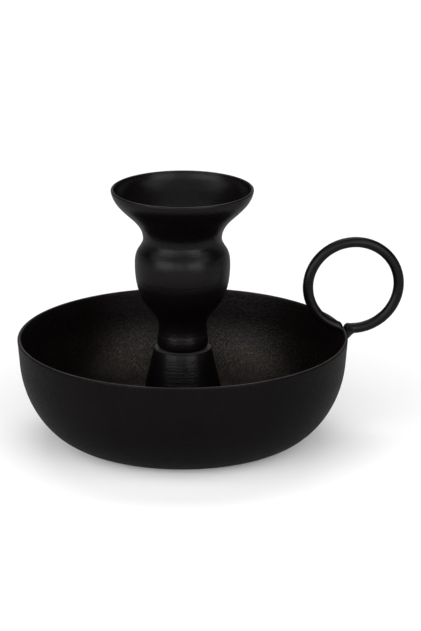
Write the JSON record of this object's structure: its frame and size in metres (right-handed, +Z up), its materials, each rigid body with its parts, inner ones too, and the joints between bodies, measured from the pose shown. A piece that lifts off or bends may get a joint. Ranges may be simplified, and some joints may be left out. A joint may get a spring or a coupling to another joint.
{
  "type": "candle holder with handle",
  "caption": "Chamberstick: round spun bowl with a cone pedestal, a bulb-shaped candle socket under a drip dish, and a ring handle over the rim, matte black.",
  "frame": {"origin": "centre of the flat base's underside, on the axis of the bowl, the pedestal and the socket", "axes": "+Z up along the bowl's axis, +X from the axis towards the ring handle, +Y to the left of the handle seen from the bowl"},
  "size_m": [0.132, 0.112, 0.0866],
  "materials": {
    "black_powder_coat": "matte black powder coat with a fine grain",
    "zinc_plated_steel": "bright zinc plate"
  },
  "bodies": {
    "root": {"bowl": "black_powder_coat", "pedestal_cone": "black_powder_coat", "socket_bulb": "black_powder_coat", "drip_dish": "black_powder_coat", "ring_handle": "black_powder_coat", "cup_washer": "zinc_plated_steel", "cup_screw": "zinc_plated_steel", "weld_nut": "zinc_plated_steel"}
  },
  "joints": []
}
